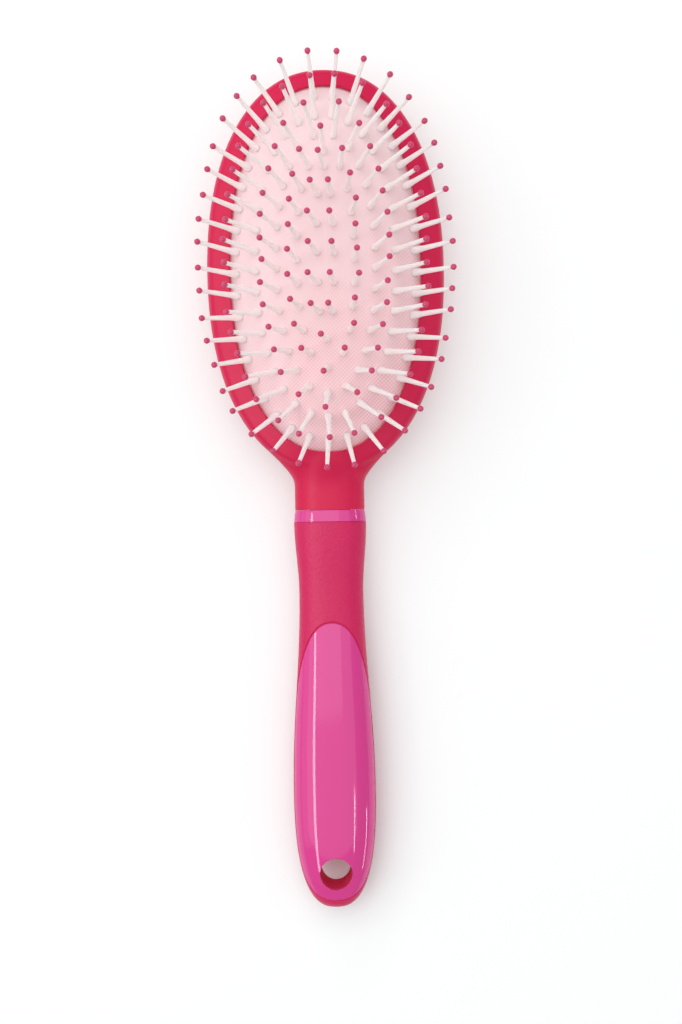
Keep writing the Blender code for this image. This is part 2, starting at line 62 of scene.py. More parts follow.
HEAD_LOW, HEAD_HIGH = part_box("head_shell")
HEAD_HALF_WIDTH = HEAD_HIGH.x
HEAD_HALF_LENGTH = HEAD_HIGH.y
SMOOTHING_LOSS = 0.0003
RIM_SIDE_WIDTH = 0.0066
RIM_END_WIDTH = 0.0057
PAD_HALF_WIDTH = HEAD_HALF_WIDTH - RIM_SIDE_WIDTH
PAD_HALF_LENGTH = HEAD_HALF_LENGTH - RIM_END_WIDTH
OVAL_POWER = 2.2
SECTION_POWER = 2.3
RIM_HEIGHT = 0.0190
RIM_SLOPE_DROP = 0.0014
EDGE_HEIGHT = 0.0135
HAIR_GAP = 0.00005
NECK_END_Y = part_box("collar_ring")[1].y + HAIR_GAP
NECK_HALF_WIDTH = 0.0101
NECK_LOW = 0.0032
NECK_HIGH = 0.0164
TANG_HALF_WIDTH = 0.0060
TANG_HALF_HEIGHT = 0.0032
TANG_ROOT = 0.004
VOXEL = 0.0005
SMOOTHING_ROUNDS = 16
OVAL_SIDES = 200
NECK_SIDES = 96
TANG_SIDES = 32


def signed_power(value, power):
    return math.copysign(abs(value) ** power, value)


def eased(start, end, share):
    return start + (end - start) * (1 - math.cos(math.pi * share)) / 2


def select_only(*things):
    bpy.ops.object.select_all(action='DESELECT')
    for thing in things:
        thing.select_set(True)
    bpy.context.view_layer.objects.active = things[0]


def drawn(name, along, sides, power, stations):
    """Closed body drawn out of a squared-up circle, by extruding and resizing its end face.

    Each station is the place along the axis, the middle across it and the two half sizes."""
    bpy.ops.object.select_all(action='DESELECT')
    bpy.ops.mesh.primitive_circle_add(vertices=sides, radius=1, fill_type='NGON')
    body = bpy.context.object
    body.name = name
    place, middle, half_a, half_b = stations[0]
    for vertex in body.data.vertices:
        a = half_a * signed_power(vertex.co.x, 2 / power)
        b = middle + half_b * signed_power(vertex.co.y, 2 / power)
        vertex.co = (a, b, place) if along == 'Z' else (a, place, b)
    bpy.ops.object.mode_set(mode='EDIT')
    bpy.ops.mesh.select_all(action='SELECT')
    for next_place, next_middle, next_a, next_b in stations[1:]:
        if along == 'Z':
            step = (0, next_middle - middle, next_place - place)
            growth = (next_a / half_a, next_b / half_b, 1)
            centre = (0, next_middle, next_place)
        else:
            step = (0, next_place - place, next_middle - middle)
            growth = (next_a / half_a, 1, next_b / half_b)
            centre = (0, next_place, next_middle)
        bpy.ops.mesh.extrude_region_move(TRANSFORM_OT_translate={"value": step})
        bpy.ops.transform.resize(value=growth, center_override=centre)
        place, middle, half_a, half_b = next_place, next_middle, next_a, next_b
    bpy.ops.mesh.select_all(action='SELECT')
    bpy.ops.mesh.normals_make_consistent(inside=False)
    bpy.ops.object.mode_set(mode='OBJECT')
    return body


def finish_modifier(body, kind, **settings):
    """Add a modifier with the given settings and apply it."""
    select_only(body)
    modifier = body.modifiers.new(kind.title(), kind)
    for key, value in settings.items():
        setattr(modifier, key, value)
    bpy.ops.object.modifier_apply(modifier=modifier.name)


def boolean(body, tool, operation):
    """Cut or join with a tool; a tool with a material of its own leaves it on the cut."""
    mode = 'TRANSFER' if tool.data.materials else 'INDEX'
    finish_modifier(body, 'BOOLEAN', object=tool, operation=operation, material_mode=mode)
    bpy.data.objects.remove(tool)


def smooth_shade(body, degrees=40):
    select_only(body)
    bpy.ops.object.shade_smooth_by_angle(angle=math.radians(degrees))


def head_stations():
    """Flat back, dome, rounded edge and the slope of the rim, from the back up."""
    flat_width, flat_length, round_share = 0.015, 0.028, 0.36
    dome_steps, edge_steps = 18, 10
    stations = []
    for step in range(dome_steps + 1):
        angle = math.pi / 2 * step / dome_steps
        stations.append((
            EDGE_HEIGHT * (1 - math.cos(angle)), 0,
            flat_width + (HEAD_HALF_WIDTH + SMOOTHING_LOSS - flat_width) * math.sin(angle),
            flat_length + (HEAD_HALF_LENGTH - flat_length) * math.sin(angle)))
    shoulder = RIM_HEIGHT - RIM_SLOPE_DROP

    def across_rim(share, height):
        return (height, 0,
                HEAD_HALF_WIDTH + SMOOTHING_LOSS * (1 - share) - RIM_SIDE_WIDTH * share,
                HEAD_HALF_LENGTH - RIM_END_WIDTH * share)

    for step in range(1, edge_steps + 1):
        angle = math.pi / 2 * step / edge_steps
        stations.append(across_rim(
            round_share * (1 - math.cos(angle)),
            EDGE_HEIGHT + (shoulder - EDGE_HEIGHT) * math.sin(angle)))
    for share in (0.5, 0.7, 0.85, 1.0, 1.2, 1.4):
        rise = (share - round_share) / (1 - round_share)
        stations.append(across_rim(share, shoulder + RIM_SLOPE_DROP * rise))
    return stations


def neck_stations():
    """Neck, level with the rim where it leaves the head and then falling to its own height."""
    spine, spare, fall_inset, fall_length, steps = 0.022, 0.004, 0.0062, 0.0112, 50
    start, end = -HEAD_HALF_LENGTH + spine, NECK_END_Y - spare
    fall_start = -HEAD_HALF_LENGTH + fall_inset
    stations = []
    for step in range(steps + 1):
        y = start + (end - start) * step / steps
        fallen = min(max((fall_start - y) / fall_length, 0), 1)
        high = eased(RIM_HEIGHT, NECK_HIGH, fallen)
        stations.append((y, (NECK_LOW + high) / 2, NECK_HALF_WIDTH, (high - NECK_LOW) / 2))
    return stations


def tang_stations(room=0.0):
    """The tang, from inside the neck to its end, or with some room the space that it needs."""
    middle = (NECK_LOW + NECK_HIGH) / 2
    half_width, half_height = TANG_HALF_WIDTH + room, TANG_HALF_HEIGHT + room
    ends = (NECK_END_Y + TANG_ROOT, HEAD_LOW.y - room)
    return [(y, middle, half_width, half_height) for y in ends]


def bezier(values, share):
    """Value on a cubic curve with two end values and two pulls between them."""
    left = 1 - share
    start, start_pull, end_pull, end = values
    return (start * left ** 3 + 3 * start_pull * left ** 2 * share
            + 3 * end_pull * left * share ** 2 + end * share ** 3)


def flare_stations():
    """Web that leaves the head's outline without a corner and narrows to the neck."""
    head_pull, neck_pull, thickness = 0.0051, 0.0031, 0.0046
    overlap, reach, steps = 0.0092, 0.0033, 30
    start, end = -HEAD_HALF_LENGTH + overlap, -HEAD_HALF_LENGTH - reach
    share = abs(start) / HEAD_HALF_LENGTH
    rest = (1 - share ** OVAL_POWER) ** (1 / OVAL_POWER)
    narrowing = HEAD_HALF_WIDTH / HEAD_HALF_LENGTH * (share / rest) ** (OVAL_POWER - 1)
    start_half = HEAD_HALF_WIDTH * rest
    halves = (start_half, start_half - narrowing * head_pull, NECK_HALF_WIDTH, NECK_HALF_WIDTH)
    places = (start, start - head_pull, end + neck_pull, end)
    top = RIM_HEIGHT - RIM_SLOPE_DROP
    stations = []
    for step in range(steps + 1):
        along = step / steps
        low = eased(top - thickness, NECK_LOW, along)
        high = eased(top, NECK_HIGH, along)
        stations.append((bezier(places, along), (low + high) / 2,
                         bezier(halves, along), (high - low) / 2))
    return stations


def chamber_stations():
    """The air chamber and the lip of the rim, with a rounded lip edge, from the top down."""
    lip, lip_round, floor, fillet = 0.0014, 0.0007, 0.0040, 0.0045
    groove_depth, groove_low, groove_draft, ledge = 0.0018, 0.0024, 0.0001, 0.0004
    above_rim, round_steps, fillet_steps = 0.004, 6, 7
    stations = [(RIM_HEIGHT + above_rim, lip_round)]
    for step in range(round_steps + 1):
        angle = math.pi / 2 * step / round_steps
        stations.append((RIM_HEIGHT - lip_round * (1 - math.cos(angle)),
                         lip_round * (1 - math.sin(angle))))
    under_lip = RIM_HEIGHT - lip
    stations += [(under_lip, 0), (under_lip - groove_draft, groove_depth),
                 (under_lip - groove_low, groove_depth),
                 (under_lip - groove_low - groove_draft, -ledge)]
    for step in range(fillet_steps + 1):
        angle = math.pi / 2 * step / fillet_steps
        stations.append((floor + fillet * (1 - math.sin(angle)),
                         -ledge - fillet * (1 - math.cos(angle))))
    return [(height, 0, PAD_HALF_WIDTH + out, PAD_HALF_LENGTH + out) for height, out in stations]


def principled(name, colour, roughness, **sockets):
    """Material with its Principled BSDF, its node tree and the shader's plain values."""
    made = bpy.data.materials.new(name)
    made.use_nodes = True
    tree = made.node_tree
    shader = tree.nodes["Principled BSDF"]
    shader.inputs["Base Color"].default_value = (*colour, 1)
    shader.inputs["Roughness"].default_value = roughness
    for socket, value in sockets.items():
        shader.inputs[socket.replace("_", " ")].default_value = value
    return made, tree, shader


def moulded_grain_group():
    """Fine grain of a moulded surface: a mottled colour, its roughness and its bumps."""
    group = bpy.data.node_groups.new("moulded_grain", 'ShaderNodeTree')
    socket = group.interface.new_socket
    socket("Light", in_out='INPUT', socket_type='NodeSocketColor')
    socket("Dark", in_out='INPUT', socket_type='NodeSocketColor')
    socket("Grain Scale", in_out='INPUT', socket_type='NodeSocketFloat')
    socket("Grain Height", in_out='INPUT', socket_type='NodeSocketFloat')
    socket("Smooth Roughness", in_out='INPUT', socket_type='NodeSocketFloat')
    socket("Rough Roughness", in_out='INPUT', socket_type='NodeSocketFloat')
    socket("Color", in_out='OUTPUT', socket_type='NodeSocketColor')
    socket("Roughness", in_out='OUTPUT', socket_type='NodeSocketFloat')
    socket("Normal", in_out='OUTPUT', socket_type='NodeSocketVector')
    nodes, links = group.nodes, group.links
    inputs, outputs = nodes.new('NodeGroupInput'), nodes.new('NodeGroupOutput')
    place = nodes.new('ShaderNodeTexCoord')
    grain = nodes.new('ShaderNodeTexNoise')
    grain.inputs["Detail"].default_value = 3
    cloud = nodes.new('ShaderNodeTexNoise')
    cloud.inputs["Scale"].default_value = 60
    cloud.inputs["Detail"].default_value = 2
    mottle = nodes.new('ShaderNodeMix')
    mottle.data_type = 'RGBA'
    shine = nodes.new('ShaderNodeMapRange')
    bump = nodes.new('ShaderNodeBump')
    bump.inputs["Strength"].default_value = 1.0
    links.new(place.outputs["Object"], grain.inputs["Vector"])
    links.new(place.outputs["Object"], cloud.inputs["Vector"])
    links.new(inputs.outputs["Grain Scale"], grain.inputs["Scale"])
    links.new(cloud.outputs["Fac"], mottle.inputs["Factor"])
    links.new(inputs.outputs["Dark"], mottle.inputs["A"])
    links.new(inputs.outputs["Light"], mottle.inputs["B"])
    links.new(grain.outputs["Fac"], shine.inputs["Value"])
    links.new(inputs.outputs["Smooth Roughness"], shine.inputs["To Min"])
    links.new(inputs.outputs["Rough Roughness"], shine.inputs["To Max"])
    links.new(grain.outputs["Fac"], bump.inputs["Height"])
    links.new(inputs.outputs["Grain Height"], bump.inputs["Distance"])
    links.new(mottle.outputs["Result"], outputs.inputs["Color"])
    links.new(shine.outputs["Result"], outputs.inputs["Roughness"])
    links.new(bump.outputs["Normal"], outputs.inputs["Normal"])
    return group


def grained(name, light, dark, scale, height, smooth, rough, **sockets):
    """Moulded plastic with the grain group wired into its shader."""
    made, tree, shader = principled(name, light, smooth, **sockets)
    grain = tree.nodes.new('ShaderNodeGroup')
    grain.node_tree = MOULDED_GRAIN
    grain.inputs["Light"].default_value = (*light, 1)
    grain.inputs["Dark"].default_value = (*dark, 1)
    grain.inputs["Grain Scale"].default_value = scale
    grain.inputs["Grain Height"].default_value = height
    grain.inputs["Smooth Roughness"].default_value = smooth
    grain.inputs["Rough Roughness"].default_value = rough
    tree.links.new(grain.outputs["Color"], shader.inputs["Base Color"])
    tree.links.new(grain.outputs["Roughness"], shader.inputs["Roughness"])
    tree.links.new(grain.outputs["Normal"], shader.inputs["Normal"])
    return made


MOULDED_GRAIN = moulded_grain_group()

head = drawn("head_bowl", 'Z', OVAL_SIDES, OVAL_POWER, head_stations())
neck = drawn("neck", 'Y', NECK_SIDES, SECTION_POWER, neck_stations())
flare = drawn("flare", 'Y', NECK_SIDES, SECTION_POWER, flare_stations())
select_only(head, neck, flare)
bpy.ops.object.join()
finish_modifier(head, 'REMESH', mode='VOXEL', voxel_size=VOXEL, use_smooth_shade=True)
finish_modifier(head, 'SMOOTH', factor=0.5, iterations=SMOOTHING_ROUNDS)
chamber = drawn("chamber", 'Z', OVAL_SIDES, OVAL_POWER, chamber_stations())
boolean(head, chamber, 'DIFFERENCE')
bpy.ops.object.mode_set(mode='EDIT')
bpy.ops.mesh.select_all(action='SELECT')
bpy.ops.mesh.bisect(plane_co=(0, NECK_END_Y, 0), plane_no=(0, -1, 0),
                    use_fill=True, clear_outer=True)
bpy.ops.object.mode_set(mode='OBJECT')
tang = drawn("tang", 'Y', TANG_SIDES, SECTION_POWER, tang_stations())
select_only(head, tang)
bpy.ops.object.join()
smooth_shade(head)
head.data.materials.clear()
head.data.materials.append(grained(
    "raspberry_satin", (0.68, 0.010, 0.078), (0.65, 0.008, 0.071), 2600, 0.00002, 0.34, 0.44,
    Specular_IOR_Level=0.24))
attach(head, "brush")
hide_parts("head_shell")


# Cushion
# A sheet of pale pink rubber with a fine woven face, blown up by the air shut in behind it. Its
# thick edge is caught under the rim, and each pin is pushed through it, which lifts a small lip.

ROW_EDGE_SIDE, ROW_EDGE_END = 0.0021, 0.0041
ROW_SIDE_PITCH, ROW_END_PITCH = 0.0057, 0.0060
TOE_SHIFT = 0.0031
ROW_COUNT = 5
CUSHION_EDGE = RIM_HEIGHT - 0.0006
CUSHION_CROWN = 0.0080
CROWN_POWER = 2.2
PINS_IN_ROW = (41, 37, 29, 20, 12)
PIN_LENGTH = 0.0180
PIN_LEANS_SIDE = (34.5, 29.0, 12.0, 5.0, 2.5)
PIN_LEANS_END = (32.0, 25.5, 18.0, 8.5, 2.5)
CUSHION_PINK = (0.95, 0.72, 0.745)
# The weave's pattern: the darker colour between the ribs is painted shade in its gaps.
PAINTED_SHADE_BETWEEN_RIBS = (0.91, 0.46, 0.525)
RIB_TOPS = (0.99, 0.77, 0.79)
# Painted glare: along the next way, towards the upper left where the light falls, the weave gives
# way to this even pale pink.
PAINTED_GLARE_PINK = (0.905, 0.705, 0.730)
PAINTED_GLARE_WAY = (-0.6, 0.8, 0)
WEAVE_PITCH = 0.00110
CUSHION_SIDES = 320
SOFT_EDGE = 60


def row_sizes(level):
    """Half sizes of a row's oval, its shift to the toe and its height on the dome."""
    share = min((ROW_EDGE_SIDE + ROW_SIDE_PITCH * level) / PAD_HALF_WIDTH, 1)
    height = CUSHION_EDGE + CUSHION_CROWN * (1 - (1 - share) ** CROWN_POWER)
    return (PAD_HALF_WIDTH - ROW_EDGE_SIDE - ROW_SIDE_PITCH * level,
            PAD_HALF_LENGTH - ROW_EDGE_END - ROW_END_PITCH * level,
            TOE_SHIFT * (max(level, 0) / (ROW_COUNT - 1)) ** 3, height)


def row_points(row):
    """Feet of a row's pins from the heel round and their outward way, at even steps of the tips."""
    samples, nearby = 1440, 6
    half_width, half_length, shift, height = row_sizes(row)
    side_reach = PIN_LENGTH * math.sin(math.radians(PIN_LEANS_SIDE[row]))
    end_reach = PIN_LENGTH * math.sin(math.radians(PIN_LEANS_END[row]))
    fine, lengths, tip = [], [], None
    for index in range(samples + 1):
        angle = -math.pi / 2 + 2 * math.pi * index / samples
        across = signed_power(math.cos(angle), 2 / OVAL_POWER)
        along = signed_power(math.sin(angle), 2 / OVAL_POWER)
        fine.append(Vector((half_width * across, shift + half_length * along, height)))
        last_tip = tip
        tip = Vector(((half_width + side_reach) * across, (half_length + end_reach) * along))
        lengths.append(lengths[-1] + (tip - last_tip).length if lengths else 0.0)
    feet = []
    for number in range(PINS_IN_ROW[row]):
        target = number / PINS_IN_ROW[row] * lengths[-1]
        index = next(i for i, length in enumerate(lengths[1:]) if length >= target)
        ahead = fine[min(index + nearby, samples)]
        behind = fine[index - nearby if index >= nearby else index - nearby + samples]
        along = ahead - behind
        outward = Vector((along.y, -along.x, 0)).normalized()
        feet.append((fine[index].copy(), outward))
    return feet


def cushion_stations():
    """Underside from the crown out to the flange, then the face from the rim up to the crown."""
    thickness, crown_half_width = 0.0018, 0.0008
    flange, flange_low, flange_high = 0.0015, RIM_HEIGHT - 0.0035, RIM_HEIGHT - 0.0017
    top_level = (PAD_HALF_WIDTH - ROW_EDGE_SIDE - crown_half_width) / ROW_SIDE_PITCH
    edge_level, under_steps = -0.25, 8
    stations = []
    for step in range(under_steps + 1):
        level = top_level + (edge_level - top_level) * step / under_steps
        half_width, half_length, shift, height = row_sizes(level)
        stations.append((height - thickness, shift, half_width, half_length))
    lip_gap = 0.0002
    for height, out in ((flange_low, 0), (flange_low, flange), (flange_high, flange),
                        (flange_high, -lip_gap)):
        stations.append((height, 0, PAD_HALF_WIDTH + out, PAD_HALF_LENGTH + out))
    face_start, face_steps, edge_steps = -0.36, 64, 12
    edge_gap, edge_drop = 0.00004, 0.0010
    for step in range(face_steps + 1):
        level = face_start + (top_level - face_start) * step / face_steps
        half_width, half_length, shift, height = row_sizes(level)
        if step < edge_steps:
            pull = (1 - step / edge_steps) ** 2
            half_length += (PAD_HALF_LENGTH - edge_gap - half_length) * pull
            height -= edge_drop * pull
        stations.append((height, shift, half_width, half_length))
    return stations


def raise_pin_lips(sheet, feet):
    """Small lip of rubber round each pin."""
    lip_height, lip_radius, reach, least_upward = 0.00028, 0.0013, 0.0030, 0.2
    for vertex in sheet.data.vertices:
        if vertex.normal.z < least_upward:
            continue
        for foot, _ in feet:
            distance = math.hypot(vertex.co.x - foot.x, vertex.co.y - foot.y)
            if distance < reach:
                vertex.co.z += lip_height * math.exp(-(distance / lip_radius) ** 2)


def woven_group():
    """Diagonal weave: two sets of ribs that cross, one of them a little weaker than the other."""
    group = bpy.data.node_groups.new("woven_face", 'ShaderNodeTree')
    socket = group.interface.new_socket
    socket("Pitch", in_out='INPUT', socket_type='NodeSocketFloat')
    socket("Thread", in_out='OUTPUT', socket_type='NodeSocketFloat')
    nodes, links = group.nodes, group.links
    inputs, outputs = nodes.new('NodeGroupInput'), nodes.new('NodeGroupOutput')
    place = nodes.new('ShaderNodeTexCoord')
    split = nodes.new('ShaderNodeSeparateXYZ')
    links.new(place.outputs["Object"], split.inputs["Vector"])

    def math_node(operation, first, second=None):
        node = nodes.new('ShaderNodeMath')
        node.operation = operation
        for index, value in enumerate((first, second)):
            if value is None:
                continue
            if isinstance(value, (int, float)):
                node.inputs[index].default_value = value
            else:
                links.new(value, node.inputs[index])
        return node.outputs[0]

    turn = math_node('DIVIDE', math.pi, inputs.outputs["Pitch"])
    one_way = math_node('ADD', split.outputs["X"], split.outputs["Y"])
    other_way = math_node('SUBTRACT', split.outputs["X"], split.outputs["Y"])
    first = math_node('ABSOLUTE', math_node('SINE', math_node('MULTIPLY', one_way, turn)))
    second = math_node('ABSOLUTE', math_node('SINE', math_node('MULTIPLY', other_way, turn)))
    depth, base = 0.7, 0.3
    crossing = math_node('ADD', math_node('MULTIPLY', first, depth), base)
    links.new(math_node('MULTIPLY', crossing, second), outputs.inputs["Thread"])
    return group


def cushion_material():
    """Woven rubber, clear at the heel and on the right; a painted glare turns it even and pale
    towards the upper left.
    """
    made, tree, shader = principled("cushion_rubber", CUSHION_PINK, 0.7)
    nodes, links = tree.nodes, tree.links
    weave = nodes.new('ShaderNodeGroup')
    weave.node_tree = WOVEN_FACE
    weave.inputs["Pitch"].default_value = WEAVE_PITCH
    place = nodes.new('ShaderNodeTexCoord')
    cloud = nodes.new('ShaderNodeTexNoise')
    cloud.inputs["Scale"].default_value = 90
    cloud.inputs["Detail"].default_value = 3
    links.new(place.outputs["Object"], cloud.inputs["Vector"])
    # Weave colour, with painted shade in the gaps between the ribs.
    threads = nodes.new('ShaderNodeMix')
    threads.data_type = 'RGBA'
    threads.inputs["A"].default_value = (*PAINTED_SHADE_BETWEEN_RIBS, 1)
    threads.inputs["B"].default_value = (*RIB_TOPS, 1)
    links.new(weave.outputs["Thread"], threads.inputs["Factor"])
    tint = nodes.new('ShaderNodeMix')
    tint.data_type = 'RGBA'
    tint.inputs["B"].default_value = (*PAINTED_GLARE_PINK, 1)
    across = nodes.new('ShaderNodeVectorMath')
    across.operation = 'DOT_PRODUCT'
    across.inputs[1].default_value = PAINTED_GLARE_WAY
    links.new(place.outputs["Object"], across.inputs[0])
    uneven = nodes.new('ShaderNodeMath')
    uneven.operation = 'MULTIPLY_ADD'
    uneven.inputs[1].default_value = 0.05
    links.new(cloud.outputs["Fac"], uneven.inputs[0])
    links.new(across.outputs["Value"], uneven.inputs[2])
    # Painted glare mask: rises towards the upper left with a little noise, swapping the weave for
    # the even pale pink and taking its relief away.
    painted_glare = nodes.new('ShaderNodeMapRange')
    painted_glare.inputs["From Min"].default_value = -0.020
    painted_glare.inputs["From Max"].default_value = 0.028
    painted_glare.inputs["To Min"].default_value = 0.05
    painted_glare.inputs["To Max"].default_value = 0.95
    links.new(uneven.outputs[0], painted_glare.inputs["Value"])
    links.new(painted_glare.outputs["Result"], tint.inputs["Factor"])
    links.new(threads.outputs["Result"], tint.inputs["A"])
    links.new(tint.outputs["Result"], shader.inputs["Base Color"])
    left = nodes.new('ShaderNodeMath')
    left.operation = 'SUBTRACT'
    left.inputs[0].default_value = 1.0
    links.new(painted_glare.outputs["Result"], left.inputs[1])
    raised = nodes.new('ShaderNodeMath')
    raised.operation = 'MULTIPLY'
    links.new(weave.outputs["Thread"], raised.inputs[0])
    links.new(left.outputs[0], raised.inputs[1])
    bump = nodes.new('ShaderNodeBump')
    bump.inputs["Distance"].default_value = 0.00009
    bump.inputs["Strength"].default_value = 0.7
    links.new(raised.outputs[0], bump.inputs["Height"])
    links.new(bump.outputs["Normal"], shader.inputs["Normal"])
    return made


WOVEN_FACE = woven_group()
pin_feet = [row_points(row) for row in range(ROW_COUNT)]
cushion = drawn("cushion", 'Z', CUSHION_SIDES, OVAL_POWER, cushion_stations())
raise_pin_lips(cushion, [foot for feet in pin_feet for foot in feet])
smooth_shade(cushion, SOFT_EDGE)
cushion.data.materials.append(cushion_material())
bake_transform(cushion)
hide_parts("cushion_edge")


# Pins
# Cream nylon pins with a thick tapered foot and a slim shaft, each dipped to leave a pink ball on
# its tip. They stand in five oval rows and fan outwards, never quite evenly.

PIN_ROOT = 0.0034
PIN_SIDES = 10
ROUND_POWER = 2
FOOT_RADIUS = 0.00105
SHAFT_RADIUS = 0.00068
NECK_RADIUS = 0.00054
BALL_RADIUS = 0.00088
PIN_SIDE_TILTS = (0.0, 0.0, -0.015, -0.05, -0.09)
LEAN_SCATTER = 1.5
SWING_SCATTER = 5.0


def turned(name, sides, profile):
    """Round body from the heights and radii of its profile."""
    stations = [(height, 0, radius, radius) for height, radius in profile]
    return drawn(name, 'Z', sides, ROUND_POWER, stations)


shaft_model = turned("pin_shaft", PIN_SIDES, [
    (-PIN_ROOT, FOOT_RADIUS), (0.0006, FOOT_RADIUS), (0.0024, 0.00100), (0.0045, 0.00076),
    (0.0085, SHAFT_RADIUS), (PIN_LENGTH - 1.6 * BALL_RADIUS, NECK_RADIUS)])
ball_profile = [(PIN_LENGTH - 1.85 * BALL_RADIUS, NECK_RADIUS * 1.04)]
for degrees in (-44, -22, 0, 25, 50, 72):
    angle = math.radians(degrees)
    ball_profile.append((PIN_LENGTH - BALL_RADIUS + BALL_RADIUS * math.sin(angle),
                         BALL_RADIUS * math.cos(angle)))
ball_model = turned("pin_ball", PIN_SIDES, ball_profile)
for model in (shaft_model, ball_model):
    smooth_shade(model, SOFT_EDGE)
shaft_model.data.materials.append(grained(
    "pin_cream", (1.0, 0.87, 0.855), (0.99, 0.85, 0.835), 3000, 0.00001, 0.42, 0.52,
    Subsurface_Weight=1.0, Subsurface_Scale=0.003, Subsurface_Radius=(1.0, 0.8, 0.7)))
ball_model.data.materials.append(grained(
    "pin_tip_pink", (0.62, 0.050, 0.155), (0.56, 0.042, 0.135), 3000, 0.00001, 0.26, 0.34))


def planted(model, matrix):
    copy = model.copy()
    copy.data = model.data.copy()
    copy.data.transform(matrix)
    bpy.context.collection.objects.link(copy)
    return copy


def joined(name, things):
    select_only(*things)
    bpy.ops.object.join()
    things[0].name = name
    return things[0]


BODY_ROWS = {"brush": (1,), "second_row": (2,), "third_row": (3,), "middle_rows": (4, 5)}
scatter = random.Random(7)
for body, rows in BODY_ROWS.items():
    shafts, balls = [], []
    for row in rows:
        side, end = PIN_LEANS_SIDE[row - 1], PIN_LEANS_END[row - 1]
        for foot, outward in pin_feet[row - 1]:
            lean = side + (end - side) * outward.y ** 2
            tilt = math.radians(lean + scatter.uniform(-LEAN_SCATTER, LEAN_SCATTER))
            sideways = math.radians(scatter.uniform(-SWING_SCATTER, SWING_SCATTER))
            way = Matrix.Rotation(sideways, 4, 'Z') @ outward
            axis = way * math.sin(tilt) + Vector((PIN_SIDE_TILTS[row - 1], 0, math.cos(tilt)))
            turn = axis.to_track_quat('Z', 'Y').to_matrix().to_4x4()
            place = Matrix.Translation(foot) @ turn
            shafts.append(planted(shaft_model, place))
            balls.append(planted(ball_model, place))
    row_name = "_".join(str(row) for row in rows)
    nodes = [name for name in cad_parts
             if any(name.startswith(f"pin_row_{row}_") for row in rows)]
    for kind, things in (("shafts", shafts), ("balls", balls)):
        group = joined(f"pin_{kind}_row_{row_name}", things)
        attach(group, body)
        if kind == "shafts":
            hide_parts(*nodes)
bpy.data.objects.remove(shaft_model)
bpy.data.objects.remove(ball_model)


# Collar ring
# A narrow, slightly conical ring of glossy violet-pink plastic, threaded on the tang between the
# neck and the grip. Its edges are rounded over.

COLLAR_LOW, COLLAR_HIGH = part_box("collar_ring")
COLLAR_SIDES = 128
TANG_CLEARANCE = 0.0003


def collar_stations():
    edge, edge_steps, flare_out, swell = 0.00018, 5, 0.00035, 0.00006
    middle, half_height = (NECK_LOW + NECK_HIGH) / 2, (NECK_HIGH - NECK_LOW) / 2
    length = COLLAR_HIGH.y - COLLAR_LOW.y
    stations = []
    for step in range(edge_steps + 1):
        angle = math.pi / 2 * step / edge_steps
        stations.append((COLLAR_HIGH.y - edge * (1 - math.cos(angle)),
                         edge * (math.sin(angle) - 1)))
    for share in (0.35, 0.65):
        stations.append((COLLAR_HIGH.y - length * share, flare_out * share + swell))
    for step in range(edge_steps + 1):
        angle = math.pi / 2 * (1 - step / edge_steps)
        stations.append((COLLAR_LOW.y + edge * (1 - math.cos(angle)),
                         flare_out + edge * (math.sin(angle) - 1)))
    return [(y, middle, NECK_HALF_WIDTH + grow, half_height + grow) for y, grow in stations]


def tang_space():
    """Room for the tang, which runs through the collar into the grip."""
    return drawn("tang_space", 'Y', TANG_SIDES, SECTION_POWER, tang_stations(TANG_CLEARANCE))


collar = drawn("collar", 'Y', COLLAR_SIDES, SECTION_POWER, collar_stations())
boolean(collar, tang_space(), 'DIFFERENCE')
smooth_shade(collar)
VIOLET_GLOSS = grained(
    "violet_pink_gloss", (0.72, 0.046, 0.280), (0.70, 0.042, 0.268), 900, 0.0000002, 0.060, 0.080,
    Specular_IOR_Level=0.55)
collar.data.materials.append(VIOLET_GLOSS)
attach(collar, "brush")
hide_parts("collar_ring")


# Handle grip
# A waisted body in raspberry soft-touch plastic with a fine matt grain. It wraps the back and the
# sides of the handle, holds the tang, and its front is cut away for the inlay.

GRIP_LOW, GRIP_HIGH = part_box("handle_grip")
HANDLE_TOP_Y, HANDLE_END_Y = GRIP_HIGH.y, GRIP_LOW.y
GRIP_TOP_Y = COLLAR_LOW.y - HAIR_GAP
HANDLE_LENGTH = HANDLE_TOP_Y - HANDLE_END_Y
HANDLE_SIDES = 200
WAIST_FROM_TOP, BELLY_FROM_TOP = 0.0202, 0.0770
BELLY_HIGH = 0.0165
END_POWER = 2.6
HOLE_FROM_END = 0.0108
HOLE_Y = HANDLE_END_Y + HOLE_FROM_END
HOLE_RADIUS = 0.00425
HOLE_DRAFT = 0.00045
HOLE_SIDES = 96
PARTING = 0.0104
INLAY_RAMP = 0.0205
INLAY_FROM_TOP = 0.0286
INLAY_TOP_Y = HANDLE_TOP_Y - INLAY_FROM_TOP
SEAM = 0.00005
SEAM_GROOVE_RADIUS = 0.00030


def handle_section(down):
    """Half width, lowest and highest point of the handle at a distance from its top."""
    step_out = 0.00035
    top = (NECK_HALF_WIDTH + step_out, NECK_LOW - step_out, NECK_HIGH + step_out)
    waist = (0.0093, 0.0034, 0.0156)
    belly = (0.01195, 0.0, BELLY_HIGH)
    if down <= WAIST_FROM_TOP:
        return [eased(a, b, down / WAIST_FROM_TOP) for a, b in zip(top, waist)]
    if down <= BELLY_FROM_TOP:
        share = (down - WAIST_FROM_TOP) / (BELLY_FROM_TOP - WAIST_FROM_TOP)
        return [eased(a, b, share) for a, b in zip(waist, belly)]
    share = min((down - BELLY_FROM_TOP) / (HANDLE_LENGTH - BELLY_FROM_TOP), 1)
    shrink = (1 - share ** END_POWER) ** (1 / END_POWER)
    middle = BELLY_HIGH / 2
    return [belly[0] * shrink, middle * (1 - shrink), middle * (1 + shrink)]


INLAY_TOP_Z = handle_section(HANDLE_TOP_Y - INLAY_TOP_Y)[2]


